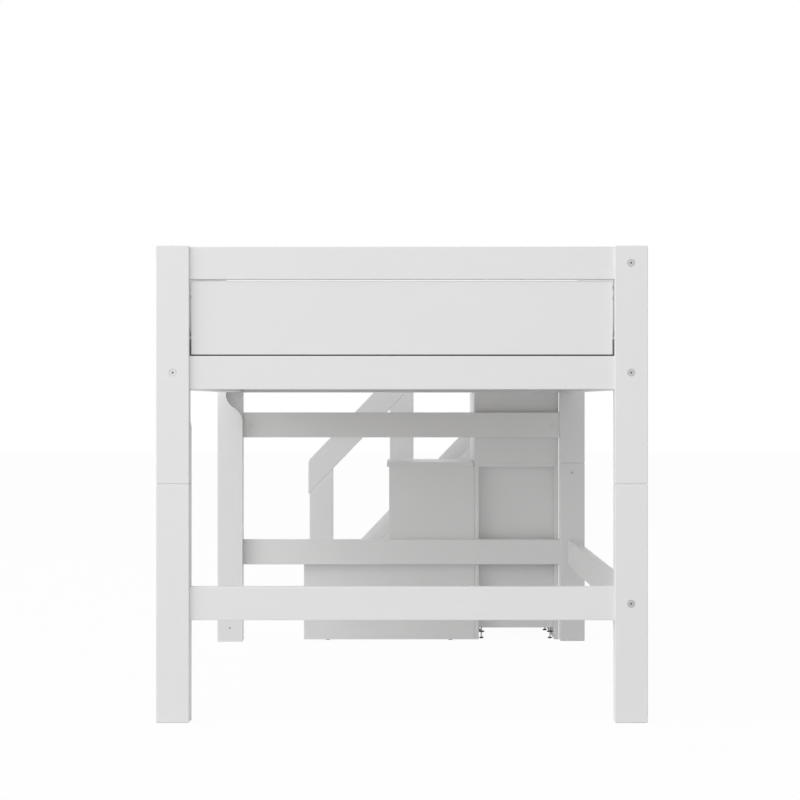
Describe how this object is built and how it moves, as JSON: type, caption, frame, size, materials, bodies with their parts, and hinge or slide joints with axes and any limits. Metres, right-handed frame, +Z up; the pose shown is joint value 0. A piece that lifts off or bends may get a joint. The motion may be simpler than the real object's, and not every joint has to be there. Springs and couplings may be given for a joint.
{
  "type": "mid sleeper bed",
  "caption": "White mid-height bed on corner posts with guards all round and a storage staircase with drawers, a cupboard and a handrail at its foot end.",
  "frame": {"origin": "on the floor under the middle of the bounding box of bed and staircase", "axes": "+X across the bed towards its right, wall side, as seen from the head end; +Y along the bed from the head end to the staircase; +Z up"},
  "size_m": [1.32, 2.5994, 1.281],
  "materials": {
    "lacquered_pine": "satin white lacquer",
    "lacquered_board": "satin white foil-faced board",
    "raw_pine": "planed, unfinished",
    "beech": "turned, unfinished",
    "mattress_cover": "knitted cover with a charcoal border",
    "zinc_steel": "bright zinc plate",
    "white_plastic": "moulded",
    "grey_plastic": "moulded"
  },
  "bodies": {
    "bed_frame": {"front_left_leg": "lacquered_pine", "front_right_leg": "lacquered_pine", "rear_left_leg": "lacquered_pine", "rear_right_leg": "lacquered_pine", "front_left_post": "lacquered_pine", "front_right_post": "lacquered_pine", "rear_left_post": "lacquered_pine", "rear_right_post": "lacquered_pine", "front_top_rail": "lacquered_pine", "front_panel": "lacquered_pine", "front_bed_rail": "lacquered_pine", "front_stretcher": "lacquered_pine", "rear_guard_rail": "lacquered_pine", "rear_guard_panel": "lacquered_pine", "rear_guard_post": "lacquered_pine", "rear_bed_rail": "lacquered_pine", "rear_cross_rail": "lacquered_pine", "rear_stretcher": "lacquered_pine", "left_bed_rail": "lacquered_pine", "left_guard_board": "lacquered_pine", "right_bed_rail": "lacquered_pine", "right_guard_rail": "lacquered_pine", "right_guard_panel": "lacquered_pine", "right_stretcher": "lacquered_pine", "left_braces": "lacquered_pine", "handrail": "lacquered_pine", "landing_rail": "lacquered_pine", "stringer": "lacquered_pine", "balustrade_posts": "lacquered_pine", "slat_ledgers": "lacquered_pine", "stair_near_panel": "lacquered_board", "stair_far_panel": "lacquered_board", "stair_end_panel": "lacquered_board", "lower_tread": "lacquered_board", "middle_tread": "lacquered_board", "upper_tread": "lacquered_board", "cabinet_sides": "lacquered_board", "cabinet_decks": "lacquered_board", "cabinet_back": "lacquered_board", "top_box_panels": "lacquered_board", "slats": "raw_pine", "drawer_runners": "raw_pine", "rail_dowels": "beech", "mattress": "mattress_cover", "frame_bolts": "zinc_steel", "barrel_nuts": "zinc_steel", "leg_studs": "zinc_steel", "screws": "zinc_steel", "hinge_frame_leaves": "zinc_steel", "cover_caps": "white_plastic", "levelling_feet": "grey_plastic", "glides": "grey_plastic"},
    "lower_drawer": {"lower_drawer_front": "lacquered_board", "lower_drawer_box": "raw_pine"},
    "middle_drawer": {"middle_drawer_front": "lacquered_board", "middle_drawer_box": "raw_pine"},
    "upper_drawer": {"upper_drawer_front": "lacquered_board", "upper_drawer_box": "raw_pine"},
    "cupboard_door": {"cupboard_door": "lacquered_board", "hinge_door_leaves": "zinc_steel"}
  },
  "joints": [
    {"name": "lower_drawer_slide", "type": "slide", "parent": "bed_frame", "child": "lower_drawer", "axis": [-1, 0, 0], "range_m": [0, 0.4]},
    {"name": "middle_drawer_slide", "type": "slide", "parent": "bed_frame", "child": "middle_drawer", "axis": [-1, 0, 0], "range_m": [0, 0.2]},
    {"name": "upper_drawer_slide", "type": "slide", "parent": "bed_frame", "child": "upper_drawer", "axis": [-1, 0, 0], "range_m": [0, 0.2]},
    {"name": "cupboard_door_hinge", "type": "hinge", "parent": "bed_frame", "child": "cupboard_door", "pos_m": [0.5515, 1.27525, 0.325], "axis": [0, 0, -1], "range_deg": [0, 100]}
  ]
}
